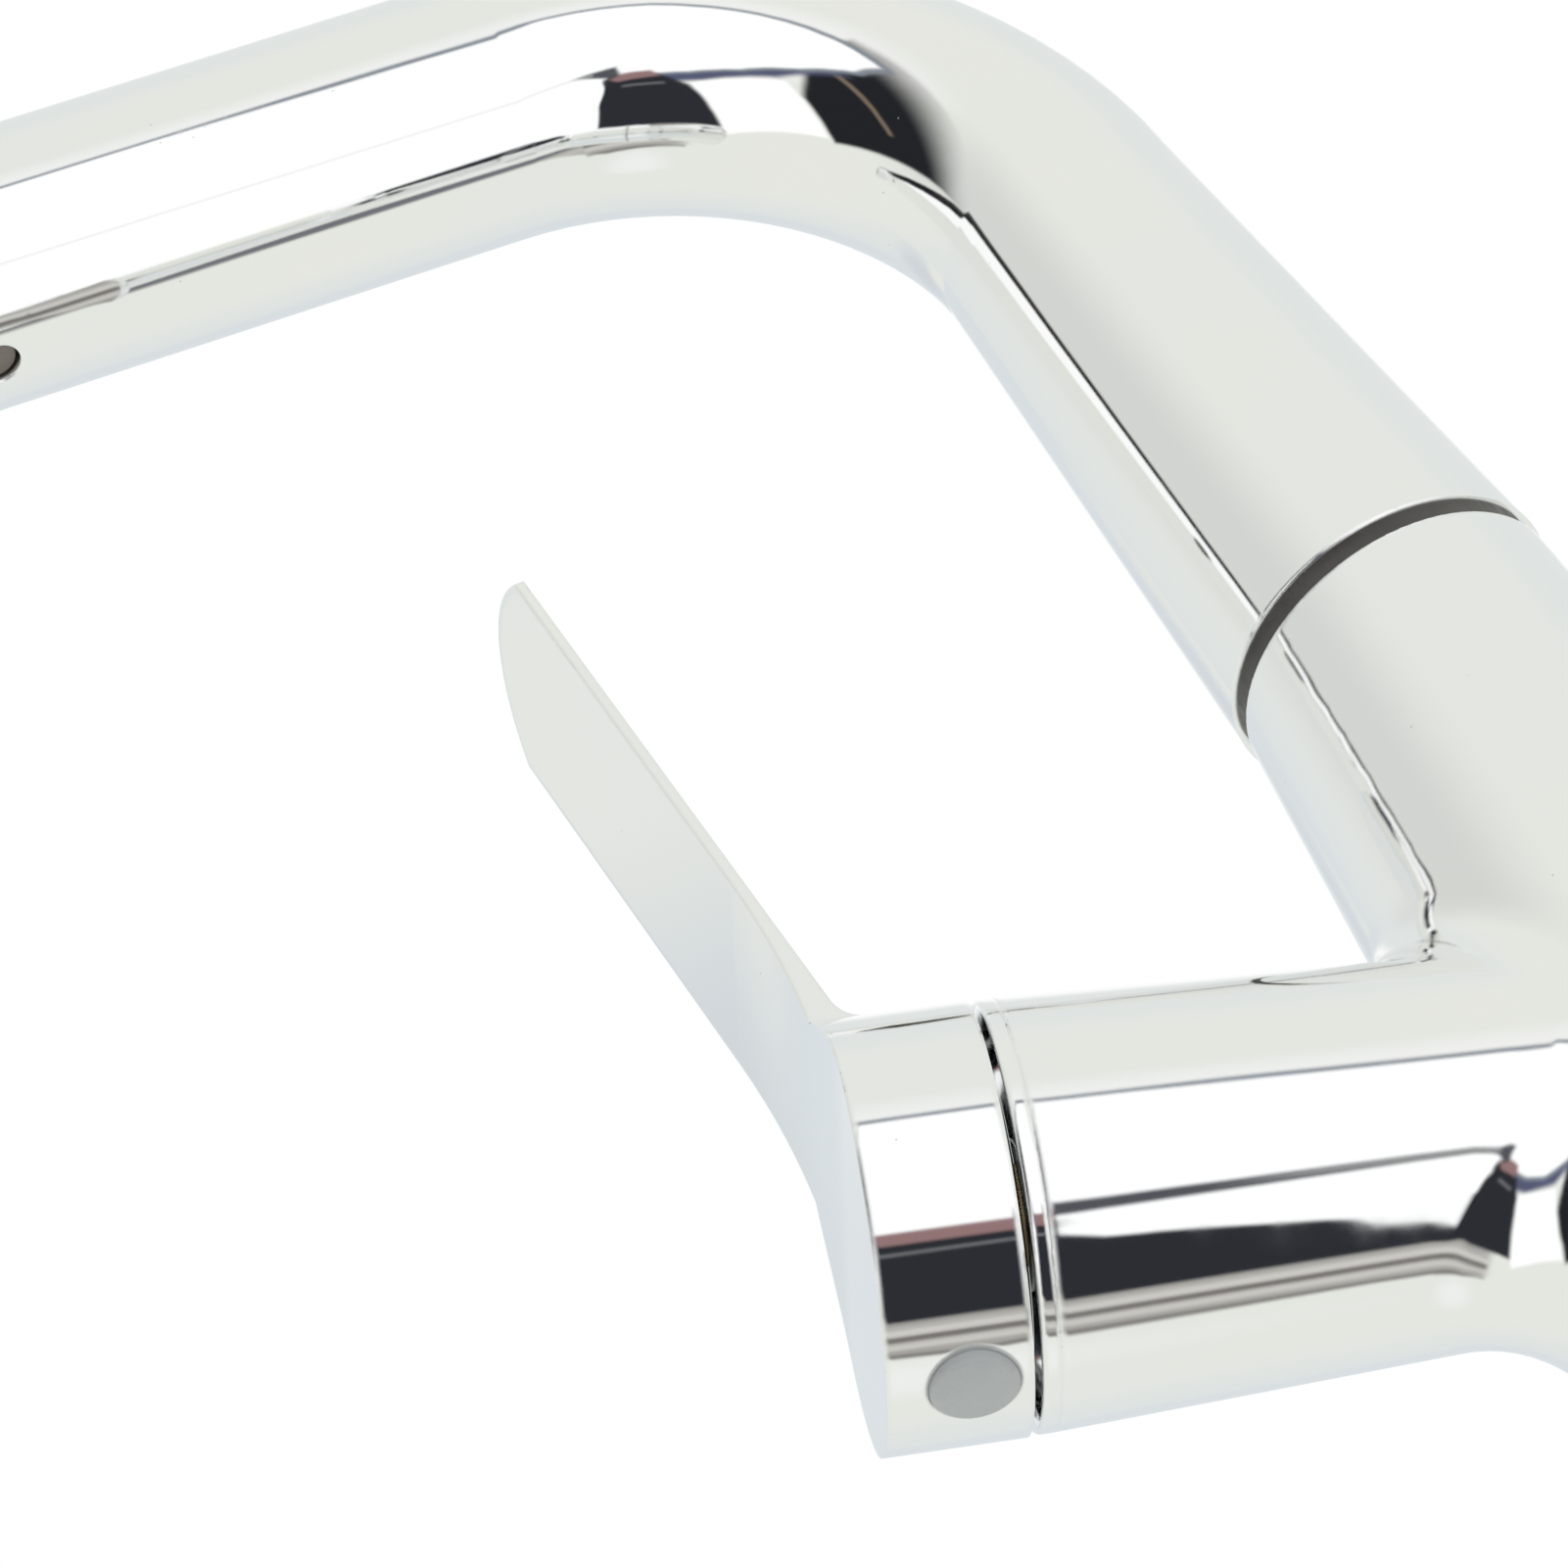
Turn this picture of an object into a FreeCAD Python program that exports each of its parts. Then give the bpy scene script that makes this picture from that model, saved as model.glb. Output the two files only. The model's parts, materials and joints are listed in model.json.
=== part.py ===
import FreeCAD, Part
import os

# Single-lever kitchen tap. Millimetres, +Z up, origin at deck level on the spout's swivel axis.
# Pieces on the side branch are drawn in the branch's own frame and then tilted with it:
# local Z runs out along the branch, local X points down across it, local Y is level.

doc = FreeCAD.newDocument("kitchen_tap")
sheet = doc.addObject("Spreadsheet::Sheet", "params")
sheet.Label = "params"

SIZES = [
    ("seal_height", 1.5, "thickness of the seal under the body"),
    ("ring_level", 132.3, "height of the body's top rim"),
    ("column_radius", 21.0, "column radius at the top rim"),
    ("base_radius", 30.0, "body radius at the deck"),
    ("base_shift", 9.0, "offset of the body's foot towards the branch"),
    ("branch_level", 52.0, "height where branch axis meets swivel axis"),
    ("branch_rise", 17.7, "rise of the branch above level, degrees"),
    ("cap_radius", 24.0, "outer radius of the handle cap"),
    ("cap_start", 86.8, "distance along the branch to the cap's rim"),
    ("cap_length", 16.0, "length of the cap along the branch"),
    ("cap_gap", 0.9, "gap between cap rim and trim ring"),
    ("bead_width", 2.0, "width of the trim ring"),
    ("bead_edge", 0.6, "rounding of the trim ring's outer edge"),
    ("rim_edge", 0.35, "rounding of the body's top rim"),
    ("branch_taper", 2.6, "half angle of the branch cone, degrees"),
    ("blend_top", 9.0, "blend radius between branch and column, above"),
    ("blend_low", 17.0, "blend radius between branch and column, below"),
    ("chamber_depth", 48.8, "depth of the cartridge chamber from the cap's rim"),
    ("chamber_radius", 17.6, "cartridge chamber radius"),
    ("nut_inset", 20.8, "depth of the wider nut bore from the cap's rim"),
    ("nut_bore", 19.55, "radius of the nut bore"),
    ("pivot_rise", 22.8, "lift pivot above the chamber floor"),
    ("pin_radius", 1.5, "radius of the pivot pin"),
    ("stem_half", 4.0, "half width of the square stem"),
    ("stem_depth", 11.2, "reach of the stem past the cap's rim"),
    ("seal_lift", 0.3, "cartridge foot above the chamber floor, on its seals"),
    ("foot_thick", 4.0, "thickness of the cartridge foot"),
    ("disc_thick", 4.0, "thickness of each ceramic disc"),
    ("disc_radius", 11.0, "radius of the moving disc and its carrier"),
    ("carrier_thick", 6.0, "thickness of the disc carrier"),
    ("carrier_width", 17.8, "width of the carrier between its flats"),
    ("shell_wall", 2.0, "wall of the cartridge shell"),
    ("shell_mouth", 11.5, "bore of the cartridge shell's neck"),
    ("shell_neck", 12.4, "outer radius of the cartridge shell's neck"),
    ("skirt_height", 9.0, "height of the rotor's skirt"),
    ("rotor_reach", 13.5, "height of the rotor's neck"),
    ("slot_length", 15.0, "length of the rotor's slot for the stem"),
    ("pin_length", 21.0, "length of the pivot pin"),
    ("ball_radius", 2.5, "radius of the ball on the stem's tail"),
    ("tail_length", 6.5, "ball centre below the pivot"),
    ("nut_height", 9.0, "height of the cartridge nut"),
    ("nut_mouth", 12.9, "bore of the cartridge nut"),
    ("key_width", 5.0, "width of the nut's key slots"),
    ("port_down", 6.0, "inlet ports below the branch axis"),
    ("port_side", 6.5, "inlet ports beside the branch axis"),
    ("port_up", 7.5, "outlet port above the branch axis"),
    ("inlet_side", 6.0, "inlet threads beside the centre plane"),
    ("inlet_thread", 4.5, "inlet thread radius"),
    ("roof_level", 34.0, "roof of the chamber over the shank"),
    ("outlet_step", 10.0, "outlet chamber floor above the branch level"),
    ("insert_bore", 14.6, "bore in the column for the spout insert"),
    ("neck_room", 1.6, "radial room between the bore and the insert's neck"),
    ("neck_step", 1.0, "depth of the O-ring grooves"),
    ("lower_oring", 25.7, "lower O-ring below the rim"),
    ("upper_oring", 18.2, "upper O-ring below the rim"),
    ("retain_drop", 11.3, "retaining screw below the rim"),
    ("insert_floor", 96.0, "floor of the spout insert's bore"),
    ("glide_height", 2.4, "height of the dark glide ring"),
    ("glide_radius", 20.4, "outer radius of the glide ring"),
    ("leg_foot", 21.3, "spout leg radius at its lower end"),
    ("leg_length", 80.5, "height of the tapered part of the leg"),
    ("arm_radius", 17.1, "spout arm radius"),
    ("bend_radius", 54.7, "centre-line radius of the bend"),
    ("spout_wall", 3.0, "wall of the spout tube"),
    ("plug_depth", 15.0, "depth of the insert's plug in the leg"),
    ("arm_end", 150.0, "reach of the spout tube's open end"),
    ("nub_reach", 128.0, "reach of the latch nub under the arm"),
    ("nub_radius", 2.6, "radius of the latch nub"),
    ("nub_hole", 2.9, "radius of the latch hole"),
    ("head_end", 212.0, "reach of the closed end of the outlet head"),
    ("head_edge", 5.0, "rounding of the head's closed end"),
    ("nozzle_reach", 190.0, "reach of the nozzle's centre"),
    ("nozzle_radius", 13.5, "outer radius of the nozzle collar"),
    ("nozzle_drop", 3.0, "collar below the arm's underside"),
    ("spout_rest", 2.0, "direction of the spout in the photo, degrees"),
    ("blade_half", 15.2, "half width of the lever blade"),
    ("blade_root", 21.73, "blade root above the branch axis, across it"),
    ("blade_lean", 18.8, "angle from cap face to blade, degrees"),
    ("blade_blend", 120.0, "radius between cap face and blade"),
    ("blade_tip", 80.0, "length of the blade from its root"),
    ("tip_radius", 22.3, "radius of the blade's rounded tip"),
    ("blade_thick", 1.5, "blade thickness at its root"),
    ("blade_thin", 0.2, "taper of the blade's thickness, degrees"),
    ("foot_blend", 3.0, "blend radius between the blade's back and the cap"),
    ("plug_inset", 6.5, "screw cover past the cap's rim"),
    ("plug_radius", 5.0, "radius of the screw cover"),
    ("plug_side", 1.8, "screw and cover beside the centre plane"),
    ("plug_proud", 0.6, "screw cover standing out of the cap"),
    ("plug_seat", 1.75, "depth of the cover's seat in the cap"),
    ("plug_edge", 0.7, "rounding of the cover's outer edge"),
    ("cap_wall", 1.4, "wall of the cap round its cavity"),
    ("boss_radius", 8.5, "radius of the cap's boss round the stem"),
    ("screw_radius", 2.0, "radius of the lever screw"),
    ("screw_inset", 7.4, "lever screw past the cap's rim"),
    ("shank_radius", 14.0, "outer radius of the mounting shank"),
    ("shank_bore", 12.0, "inner radius of the mounting shank"),
    ("shank_length", 60.0, "shank length below the deck"),
    ("socket_depth", 14.0, "depth of the shank's socket in the body"),
    ("deck_space", 30.0, "worktop thickness between seal and washer"),
    ("fit_gap", 0.05, "radial running gap"),
    ("chamber_floor", "=cap_start - chamber_depth", "cartridge chamber floor along the branch"),
    ("foot_low", "=chamber_floor + seal_lift", "underside of the cartridge foot"),
    ("fixed_low", "=foot_low + foot_thick", "underside of the fixed disc"),
    ("moving_low", "=fixed_low + disc_thick", "underside of the moving disc"),
    ("carrier_low", "=moving_low + disc_thick", "underside of the disc carrier"),
    ("room_radius", "=chamber_radius - shell_wall", "bore of the cartridge shell"),
    ("nut_seat", "=cap_start - nut_inset", "start of the nut bore along the branch"),
    ("pivot_s", "=cap_start - chamber_depth + pivot_rise", "lift pivot along the branch"),
    ("stem_end", "=cap_start + stem_depth", "outer end of the stem along the branch"),
    ("plug_s", "=cap_start + plug_inset", "screw cover along the branch"),
    ("screw_s", "=cap_start + screw_inset", "lever screw along the branch"),
    ("outlet_floor", "=branch_level + outlet_step", "floor of the column's outlet chamber"),
    ("neck_radius", "=insert_bore - neck_room", "radius of the spout insert's neck"),
    ("plug_fit", "=leg_foot - spout_wall - 0.3", "radius of the insert's plug in the leg"),
    ("arm_bore", "=arm_radius - spout_wall", "bore of the spout arm"),
    ("tail_radius", "=arm_radius - spout_wall - 2.1", "radius of the outlet head's tail"),
    ("nozzle_bore", "=nozzle_radius - 2", "thread radius in the nozzle"),
]
for row, (alias, value, words) in enumerate(SIZES, start=1):
    sheet.set("A%d" % row, alias)
    sheet.set("B%d" % row, str(value))
    sheet.set("C%d" % row, words)
    sheet.setAlias("B%d" % row, alias)
doc.recompute()

UP = FreeCAD.Vector(0, 0, 1)
ACROSS = FreeCAD.Vector(0, 1, 0)
ALONG = FreeCAD.Vector(1, 0, 0)
ORIGIN = FreeCAD.Vector(0, 0, 0)


def named(text):
    # turn sheet names into full references
    return text.replace("@", "params.")


def bind(obj, prop, text):
    obj.setExpression(prop, named(str(text)))


def place(obj, x="0", y="0", z="0", turn=None):
    # turn is an axis and a fixed angle in degrees
    if turn is not None:
        obj.Placement = FreeCAD.Placement(ORIGIN, FreeCAD.Rotation(turn[0], turn[1]))
    for key, text in (("x", x), ("y", y), ("z", z)):
        if str(text) != "0":
            bind(obj, ".Placement.Base." + key, text)
    return obj


def make(kind, label):
    obj = doc.addObject(kind, label)
    obj.Label = label
    return obj


def cylinder(label, radius, height, x="0", y="0", z="0", turn=None):
    obj = make("Part::Cylinder", label)
    bind(obj, "Radius", radius)
    bind(obj, "Height", height)
    return place(obj, x, y, z, turn)


def cone(label, low, high, height, z="0"):
    obj = make("Part::Cone", label)
    bind(obj, "Radius1", low)
    bind(obj, "Radius2", high)
    bind(obj, "Height", height)
    return place(obj, z=z)


def box(label, dx, dy, dz, x="0", y="0", z="0", turn=None):
    obj = make("Part::Box", label)
    bind(obj, "Length", dx)
    bind(obj, "Width", dy)
    bind(obj, "Height", dz)
    return place(obj, x, y, z, turn)


def torus(label, ring, section, z="0"):
    obj = make("Part::Torus", label)
    bind(obj, "Radius1", ring)
    bind(obj, "Radius2", section)
    return place(obj, z=z)


def fuse(label, *parts):
    obj = make("Part::MultiFuse", label)
    obj.Shapes = list(parts)
    return obj


def held(label, *parts):
    # a group that carries its pieces to one place
    obj = make("Part::Compound", label)
    obj.Links = list(parts)
    return obj


def common(label, first, second):
    obj = make("Part::Common", label)
    obj.Base = first
    obj.Tool = second
    return obj


def cut(label, base, *tools):
    obj = make("Part::Cut", label)
    obj.Base = base
    if len(tools) == 1:
        obj.Tool = tools[0]
    else:
        obj.Tool = fuse(label + "_tools", *tools)
    return obj


def ring(label, outer, inner, height, x="0", z="0"):
    body = cylinder(label + "_outside", outer, height, x=x, z=z)
    hole = cylinder(label + "_inside", inner, "(%s) + 2" % height, x=x, z="(%s) - 1" % z)
    return cut(label, body, hole)


def tilt(obj):
    # carry a piece from the branch's own frame to its place
    obj.Placement = FreeCAD.Placement(ORIGIN, FreeCAD.Rotation(ACROSS, 1))
    bind(obj, ".Placement.Rotation.Angle", "90 - @branch_rise")
    bind(obj, ".Placement.Base.z", "@branch_level")
    return obj


def swing(obj):
    # carry a piece of the spout round to the direction it has in the photo
    obj.Placement = FreeCAD.Placement(ORIGIN, FreeCAD.Rotation(UP, 1))
    bind(obj, ".Placement.Rotation.Angle", "@spout_rest")
    return obj


def rounded(label, base, radius, wanted):
    # round the edges that the test picks; keep the plain shape if rounding fails
    doc.recompute()
    picks = []
    for index, edge in enumerate(base.Shape.Edges, start=1):
        if wanted(edge):
            start, end = radius, radius
            if callable(radius):
                start = radius(edge.valueAt(edge.FirstParameter))
                end = radius(edge.valueAt(edge.LastParameter))
            picks.append((index, start, end))
    obj = make("Part::Fillet", label)
    obj.Base = base
    obj.Edges = picks
    doc.recompute()
    good = bool(picks) and not obj.Shape.isNull() and obj.Shape.isValid()
    if good and "Invalid" not in obj.State and len(obj.Shape.Solids) == len(base.Shape.Solids):
        return obj
    print("rounding left out:", label, len(picks))
    doc.removeObject(obj.Name)
    doc.recompute()
    return base


def circle_at(edge, radius, slack=0.02):
    curve = edge.Curve
    return hasattr(curve, "Radius") and hasattr(curve, "Center") and abs(curve.Radius - radius) < slack


def value(alias):
    return float(sheet.get(alias))


nodes = {}


def keep(name, obj):
    obj.Label = name
    nodes[name] = obj
    return obj


# Body casting: a leaning foot cone whose back stays upright, and the tapered side branch
low_circle = make("Part::Circle", "body_foot_circle")
bind(low_circle, "Radius", "@base_radius")
place(low_circle, x="@base_shift", z="@seal_height")
top_circle = make("Part::Circle", "body_rim_circle")
bind(top_circle, "Radius", "@column_radius")
place(top_circle, z="@ring_level")
column = make("Part::Loft", "body_column")
column.Sections = [low_circle, top_circle]
column.Solid = True
column.Ruled = True

branch_end = "(@cap_start - @cap_gap - @bead_width)"
end_radius = "(@cap_radius - tan(@branch_taper) * (@cap_gap + @bead_width))"
root_radius = "(@cap_radius - tan(@branch_taper) * @cap_start)"
branch_cone = cone("branch_cone", root_radius, end_radius, branch_end)
branch_solid = tilt(fuse("branch_solid", branch_cone, cylinder("branch_core", "6", "8", z="-8")))
retain_hole = cylinder("retaining_screw_hole", "2 + @fit_gap", "@column_radius - @insert_bore + 5.6",
                       x="-@column_radius - 2", z="@ring_level - @retain_drop", turn=(ACROSS, 90))
body_mass = fuse("body_mass", cut("column_drilled", column, retain_hole), branch_solid)


def joint_edge(edge):
    kind = edge.Curve.TypeId
    box_now = edge.BoundBox
    if kind in ("Part::GeomLine", "Part::GeomCircle"):
        return False
    return box_now.XMin > 5 and box_now.ZMin > 15 and box_now.ZMax < 110 and edge.Length > 3


def blend_at(point):
    if point.z > value("branch_level"):
        return value("blend_top")
    return value("blend_low")


body_soft = rounded("body_blend", body_mass, blend_at, joint_edge)

thread_socket = cylinder("shank_socket", "@shank_radius + @fit_gap", "@socket_depth")
hose_room = cylinder("hose_room", "@shank_radius + 8", "@roof_level - @socket_depth", x="@base_shift - 2",
                     z="@socket_depth")
bore_gap = cylinder("insert_bore_space", "@insert_bore", "60", z="@insert_floor")
outlet_room = cylinder("outlet_chamber", "@insert_bore - 2.6", "@insert_floor - @outlet_floor + 1",
                       z="@outlet_floor")
inlet_tools = []
for side, sign in (("cold", "-"), ("hot", "")):
    across = "%s@inlet_side" % sign
    inlet_tools.append(cylinder(side + "_inlet_thread", "@inlet_thread", "11", y=across,
                                z="@roof_level - 1"))
    inlet_tools.append(cylinder(side + "_inlet_rise", "3.4", "@branch_level - 3 - @roof_level", y=across,
                                z="@roof_level"))
deep_tools = []
deep_tools.append(cylinder("cartridge_chamber", "@chamber_radius", "80", z="@chamber_floor"))
deep_tools.append(cylinder("nut_bore_space", "@nut_bore", "60", z="@nut_seat"))
deep_tools.append(cylinder("outlet_channel", "4.2", "@chamber_floor - 2", x="-@port_up", z="3"))
for side, sign in (("cold", "-"), ("hot", "")):
    deep_tools.append(cylinder(side + "_channel", "3", "@chamber_floor + 5", x="@port_down",
                               y="%s@port_side" % sign, z="-4"))
branch_tool = tilt(fuse("branch_hollows", *deep_tools))
body_cut = cut("body_hollowed", body_soft, thread_socket, hose_room, bore_gap, outlet_room,
               branch_tool, *inlet_tools)


def rim_circle(edge):
    return circle_at(edge, value("column_radius")) and abs(edge.Curve.Center.z - value("ring_level")) < 0.1


body_cut = rounded("body_rim_soft", body_cut, value("rim_edge"), rim_circle)
keep("body_casting", body_cut)

# Deck side
seal_disc = cylinder("seal_disc", "@base_radius - 1.2", "@seal_height", x="@base_shift")
seal_hole = cylinder("seal_hole_space", "@shank_radius + 1", "@seal_height + 2", z="-1")
keep("base_seal", cut("seal_ring", seal_disc, seal_hole))
shank = ring("shank_tube", "@shank_radius", "@shank_bore", "@shank_length + @socket_depth - 1",
             z="-@shank_length")
keep("mounting_shank", shank)
soft = ring("soft_washer", "@shank_radius + 12", "@shank_radius + 0.3", "3", z="-@deck_space - 3")
keep("rubber_washer", soft)
hard = ring("hard_washer", "@shank_radius + 11.5", "@shank_radius + 0.3", "2", z="-@deck_space - 5")
keep("clamp_washer", hard)
hexagon = make("Part::Prism", "nut_hexagon")
hexagon.Polygon = 6
bind(hexagon, "Circumradius", "@shank_radius + 7.5")
bind(hexagon, "Height", "9")
place(hexagon, z="-@deck_space - 14")
nut_hole = cylinder("nut_thread", "@shank_radius + @fit_gap", "12", z="-@deck_space - 15")
keep("mounting_nut", cut("mounting_nut_cut", hexagon, nut_hole))

# Cartridge, in the branch's own frame


def ports(label, low, high, grow):
    height = "(%s) - (%s)" % (high, low)
    made = []
    for side, sign in (("cold", "-"), ("hot", "")):
        made.append(cylinder("%s_%s_port" % (label, side), "2.6 + %s" % grow, height, x="@port_down",
                             y="%s@port_side" % sign, z=low))
    made.append(cylinder("%s_out_port" % label, "3.2 + %s" % grow, height, x="-@port_up", z=low))
    return made


base_disc = cylinder("cartridge_foot", "@chamber_radius - 0.1", "@foot_thick", z="@foot_low")
seal_pockets = ports("seal_pocket", "@chamber_floor", "@chamber_floor + 1.8", "1.3")
base_holes = ports("foot", "@chamber_floor - 1", "@chamber_floor + 6", "0")
keep("cartridge_base", tilt(cut("cartridge_base_cut", base_disc, *(seal_pockets + base_holes))))

seal_solids = []
for outer, inner in zip(ports("seal", "@chamber_floor", "@chamber_floor + 1.8", "1.2"),
                        ports("seal_hole", "@chamber_floor - 1", "@chamber_floor + 3", "0.2")):
    seal_solids.append(cut(outer.Label + "_ring", outer, inner))
keep("base_seals", tilt(held("base_seal_group", *seal_solids)))

fixed = cylinder("fixed_disc_blank", "@room_radius - 0.1", "@disc_thick", z="@fixed_low")
fixed_holes = ports("fixed", "@fixed_low - 1", "@moving_low + 1", "0")
keep("fixed_disc", tilt(cut("fixed_disc_cut", fixed, *fixed_holes)))

moving = cylinder("moving_disc_blank", "@disc_radius", "@disc_thick", z="@moving_low")
mix_room = box("mixing_recess", "@disc_radius + 3", "@disc_radius + 1", "2", x="-@disc_radius + 2.5",
               y="-(@disc_radius + 1) / 2", z="@moving_low - 0.1")
keep("moving_disc", tilt(cut("moving_disc_cut", moving, mix_room)))

carrier_round = cylinder("carrier_blank", "@disc_radius", "@carrier_thick", z="@carrier_low")
carrier_flats = box("carrier_flats", "2 * @disc_radius + 8", "@carrier_width", "@carrier_thick + 2",
                    x="-@disc_radius - 4", y="-@carrier_width / 2", z="@carrier_low - 1")
carrier_pocket = box("carrier_pocket", "2 * @ball_radius + 0.1", "2 * @ball_radius + 3.6", "8",
                     x="-@ball_radius - 0.05", y="-@ball_radius - 1.8",
                     z="@pivot_s - @tail_length - @ball_radius - 0.2")
keep("disc_carrier", tilt(cut("disc_carrier_cut", common("carrier_shape", carrier_round, carrier_flats),
                              carrier_pocket)))

rotor_skirt = cylinder("rotor_skirt", "@room_radius - 0.1", "@skirt_height", z="@carrier_low + 0.3")
rotor_neck = cylinder("rotor_neck", "@shell_mouth - 0.1", "@rotor_reach",
                      z="@carrier_low + @skirt_height - 0.3")
rotor_slide = box("rotor_slideway", "40", "@carrier_width + 0.2", "@carrier_thick + 1", x="-20",
                  y="-@carrier_width / 2 - 0.1", z="@carrier_low - 0.5")
rotor_slot = box("rotor_slot", "@slot_length", "2 * @stem_half + 1.2", "30", x="-@slot_length / 2",
                 y="-@stem_half - 0.6", z="@carrier_low - 0.3")
pin_hole = cylinder("rotor_pin_hole", "@pin_radius + @fit_gap", "@pin_length + 3", y="@pin_length / 2 + 1.5",
                    z="@pivot_s", turn=(ALONG, 90))
keep("rotor", tilt(cut("rotor_cut", fuse("rotor_blank", rotor_skirt, rotor_neck), rotor_slide, rotor_slot,
                       pin_hole)))

shell_out = cylinder("shell_barrel", "@chamber_radius - 0.1", "@nut_seat - @fixed_low", z="@fixed_low")
shell_neck = cylinder("shell_neck", "@shell_neck", "7.5", z="@nut_seat - 0.5")
shell_low = cylinder("shell_room", "@room_radius", "2 * @disc_thick + @skirt_height + 0.5",
                     z="@fixed_low - 0.1")
shell_high = cylinder("shell_mouth", "@shell_mouth", "40", z="@moving_low + 1.7")
keep("cartridge_shell", tilt(cut("cartridge_shell_cut", fuse("shell_blank", shell_out, shell_neck), shell_low,
                                 shell_high)))

pin = cylinder("pin_rod", "@pin_radius", "@pin_length", y="@pin_length / 2", z="@pivot_s", turn=(ALONG, 90))
keep("spindle_pin", tilt(held("spindle_pin_rod", pin)))

stem = box("stem_bar", "2 * @stem_half", "2 * @stem_half", "@stem_end - @pivot_s", x="-@stem_half",
           y="-@stem_half",
           z="@pivot_s")
knuckle = cylinder("stem_knuckle", "@stem_half", "2 * @stem_half", y="@stem_half", z="@pivot_s", turn=(ALONG,
                                                                                                       90))
tail = cylinder("stem_tail", "@ball_radius - 0.6", "@tail_length", z="@pivot_s - @tail_length")
ball = make("Part::Sphere", "stem_ball")
bind(ball, "Radius", "@ball_radius")
place(ball, z="@pivot_s - @tail_length")
stem_pin_hole = cylinder("stem_pin_hole", "@pin_radius + @fit_gap", "@pin_length + 3",
                         y="@pin_length / 2 + 1.5", z="@pivot_s", turn=(ALONG, 90))
keep("spindle", tilt(cut("spindle_cut", fuse("spindle_blank", stem, knuckle, tail, ball), stem_pin_hole)))

nut = cylinder("retaining_nut_blank", "@nut_bore - @fit_gap", "@nut_height", z="@nut_seat + 0.1")
nut_mouth = cylinder("retaining_nut_mouth", "@nut_mouth", "@nut_height + 11", z="@nut_seat - 1")
key_a = box("nut_slot_long", "60", "@key_width", "3", x="-30", y="-@key_width / 2",
            z="@nut_seat + @nut_height - 2")
key_b = box("nut_slot_cross", "@key_width", "60", "3", x="-@key_width / 2", y="-30",
            z="@nut_seat + @nut_height - 2")
keep("retaining_nut", tilt(cut("retaining_nut_cut", nut, nut_mouth, key_a, key_b)))

bead = cylinder("bead_rim", end_radius, "@bead_width", z=branch_end)
bead_soft = rounded("bead_soft", bead, value("bead_edge"), lambda e: e.Curve.TypeId == "Part::GeomCircle"
                    and e.Curve.Center.z > value("cap_start") - value("cap_gap") - 0.1)
bead_collar = cylinder("bead_collar", "@nut_bore - 2 * @fit_gap", "6", z=branch_end + " - 5.5")
bead_mouth = cylinder("bead_mouth", "@nut_bore - 1.4", "20", z=branch_end + " - 8")
keep("trim_bead", tilt(cut("trim_bead_cut", fuse("bead_blank", bead_soft, bead_collar), bead_mouth)))

# Lever: the cap and the blade are one piece; its outer face bends smoothly from one to the other
cap_end = "(@cap_start + @cap_length)"
behind_cap = box("behind_cap_face", "60", "80", "50", x="-30", y="-40", z=cap_end + " - 50")
behind_blade = box("behind_blade_face", "50", "80", "140", x="-50", y="-40", z="-40")
behind_move = held("behind_blade_placed", behind_blade)


def lean(obj):
    # the blade's own frame: Z up the blade, X out of its outer face, origin at its root
    obj.Placement = FreeCAD.Placement(ORIGIN, FreeCAD.Rotation(ACROSS, 1))
    bind(obj, ".Placement.Rotation.Angle", "@blade_lean - 90")
    bind(obj, ".Placement.Base.x", "-@blade_root")
    bind(obj, ".Placement.Base.z", cap_end)
    return obj


lean(behind_move)
outline_block = fuse("lever_outline", behind_cap, behind_move)


def corner_edge(edge):
    if edge.Curve.TypeId != "Part::GeomLine" or edge.Length < 2 * value("cap_radius"):
        return False
    middle = edge.BoundBox.Center
    near_x = abs(middle.x + value("blade_root")) < 0.3
    near_z = abs(middle.z - value("cap_start") - value("cap_length")) < 0.3
    return near_x and near_z


outline_soft = rounded("lever_outline_blend", outline_block, value("blade_blend"), corner_edge)
cap_round = cylinder("cap_round", "@cap_radius", "@cap_length + 12", z="@cap_start")
cap_solid = common("cap_solid", cap_round, outline_soft)

tip_level = "(@blade_tip - @tip_radius)"
blade_strip = box("blade_strip", "@blade_thick + 22", "2 * @blade_half", tip_level + " + @blade_half",
                  x="-@blade_thick - 2", y="-@blade_half", z="-@blade_half")
tip_round = cylinder("blade_tip_round", "@tip_radius", "@blade_thick + 22", x="-@blade_thick - 2",
                     z=tip_level,
                     turn=(ACROSS, 90))
tip_strip = box("blade_tip_strip", "@blade_thick + 22", "2 * @blade_half", "@tip_radius + 6",
                x="-@blade_thick - 2",
                y="-@blade_half", z=tip_level + " - 5")
tip_part = common("blade_tip_part", tip_round, tip_strip)
thin_cut = box("blade_back_space", "20", "4 * @blade_half", "3 * @blade_tip", x="-20", y="-2 * @blade_half",
               z="-@blade_tip")
thin_move = held("blade_back_placed", thin_cut)
thin_move.Placement = FreeCAD.Placement(ORIGIN, FreeCAD.Rotation(ACROSS, 1))
bind(thin_move, ".Placement.Rotation.Angle", "@blade_thin")
bind(thin_move, ".Placement.Base.x", "-@blade_thick")
blade_blank = cut("blade_blank", fuse("blade_plan", blade_strip, tip_part), thin_move)
blade_placed = lean(held("blade_placed", blade_blank))
blade_solid = common("blade_solid", blade_placed, outline_soft)
lever_sharp = fuse("lever_sharp", cap_solid, blade_solid)


def blade_foot_edge(edge):
    box_now = edge.BoundBox
    wide = box_now.YLength > value("blade_half") * 1.9
    above_rim = box_now.ZMin > value("cap_start") + 2
    below_face = box_now.ZMax < value("cap_start") + value("cap_length") - 0.3
    return wide and above_rim and below_face and box_now.XMax < -value("blade_half")


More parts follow.
